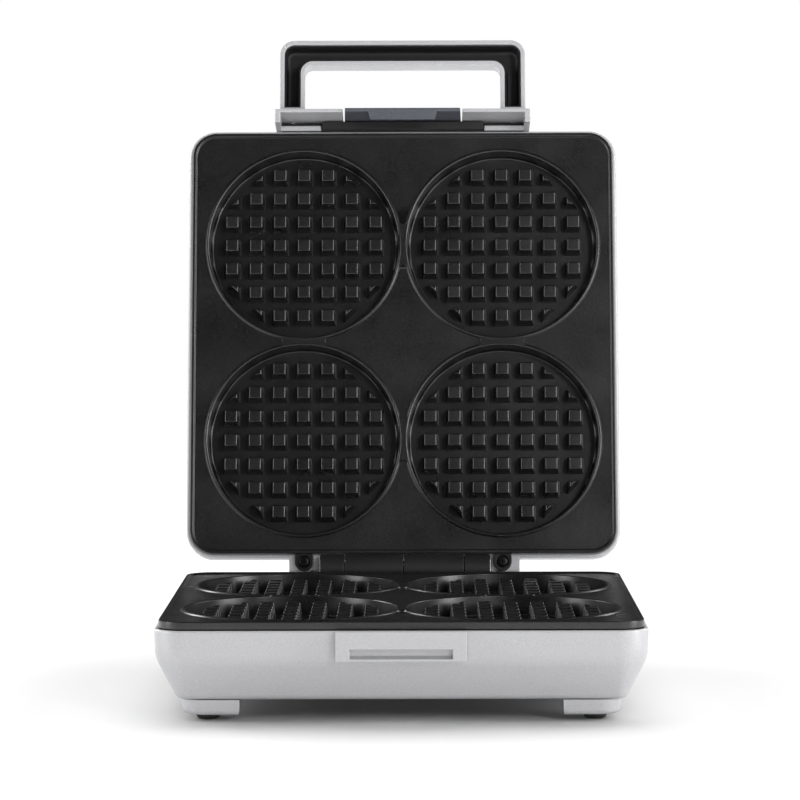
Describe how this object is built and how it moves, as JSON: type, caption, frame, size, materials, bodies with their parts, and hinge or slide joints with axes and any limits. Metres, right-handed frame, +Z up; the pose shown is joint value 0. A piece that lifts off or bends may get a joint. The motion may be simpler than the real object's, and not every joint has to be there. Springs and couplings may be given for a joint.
{
  "type": "waffle maker",
  "caption": "Electric waffle maker with hinged lid, round wells with square studs in both plates, U-shaped handle and spring latch, standing open.",
  "frame": {"origin": "on the table, under the middle of the open machine's bounding box", "axes": "+X to the machine's right along the hinge, +Y from its front to its rear, +Z up"},
  "size_m": [0.2486, 0.3602, 0.3559],
  "materials": {
    "silver_paint": "silver-grey satin paint on moulded plastic",
    "non_stick": "black non-stick coating with a fine grain, on cast aluminium",
    "black_plastic": "black moulded plastic, fine texture",
    "latch_plastic": "dark blue-grey moulded plastic",
    "rubber": "black rubber",
    "steel": "plain zinc-plated or aluminised steel",
    "black_steel": "blackened steel",
    "element_steel": "heat-darkened steel tube",
    "ceramic": "off-white ceramic",
    "red_lens": "translucent red plastic",
    "green_lens": "translucent green plastic"
  },
  "bodies": {
    "base": {"base_casing": "silver_paint", "latch_catch": "silver_paint", "catch_screw_left": "steel", "catch_screw_right": "steel", "foot_block_front_left": "silver_paint", "foot_block_front_right": "silver_paint", "foot_block_rear_left": "silver_paint", "foot_block_rear_right": "silver_paint", "rubber_foot_front_left": "rubber", "rubber_foot_front_right": "rubber", "rubber_foot_rear_left": "rubber", "rubber_foot_rear_right": "rubber", "lower_plate": "non_stick", "lower_well_rear_left": "non_stick", "lower_well_rear_right": "non_stick", "lower_well_front_left": "non_stick", "lower_well_front_right": "non_stick", "lower_plate_screw_left": "black_steel", "lower_plate_screw_right": "black_steel", "lower_element": "element_steel", "lower_reflector": "steel", "lower_reflector_screw_1": "steel", "lower_reflector_screw_2": "steel", "lower_reflector_screw_3": "steel", "thermostat": "ceramic", "thermal_fuse": "steel", "terminal_block": "ceramic", "cord_gland": "rubber", "base_hinge_bracket": "black_plastic", "base_hinge_screw_1": "steel", "base_hinge_screw_2": "steel", "hinge_pin": "steel"},
    "lid": {"lid_casing": "silver_paint", "upper_plate": "non_stick", "upper_well_rear_left": "non_stick", "upper_well_rear_right": "non_stick", "upper_well_front_left": "non_stick", "upper_well_front_right": "non_stick", "upper_plate_screw_left": "black_steel", "upper_plate_screw_right": "black_steel", "upper_element": "element_steel", "upper_reflector": "steel", "upper_reflector_screw_1": "steel", "upper_reflector_screw_2": "steel", "upper_reflector_screw_3": "steel", "lid_hinge_bracket": "black_plastic", "lid_hinge_screw_1": "steel", "lid_hinge_screw_2": "steel", "handle_frame": "silver_paint", "handle_liner": "black_plastic", "handle_screw_left": "steel", "handle_screw_right": "steel", "latch_hood": "silver_paint", "latch_carrier": "black_plastic", "latch_pin": "steel", "latch_spring": "steel", "lamp_lens_power": "red_lens", "lamp_lens_ready": "green_lens"},
    "latch": {"latch_lever": "latch_plastic"}
  },
  "joints": [
    {"name": "lid_hinge", "type": "hinge", "parent": "base", "child": "lid", "pos_m": [0, 0.08393, 0.0522], "axis": [1, 0, 0], "range_deg": [0, 103.4]},
    {"name": "latch_pivot", "type": "hinge", "parent": "lid", "child": "latch", "pos_m": [0, 0.15892, 0.30439], "axis": [-1, 0, 0], "range_deg": [0, 12], "stiffness_Nm_per_rad": 0.15, "springref_deg": -9.74}
  ]
}
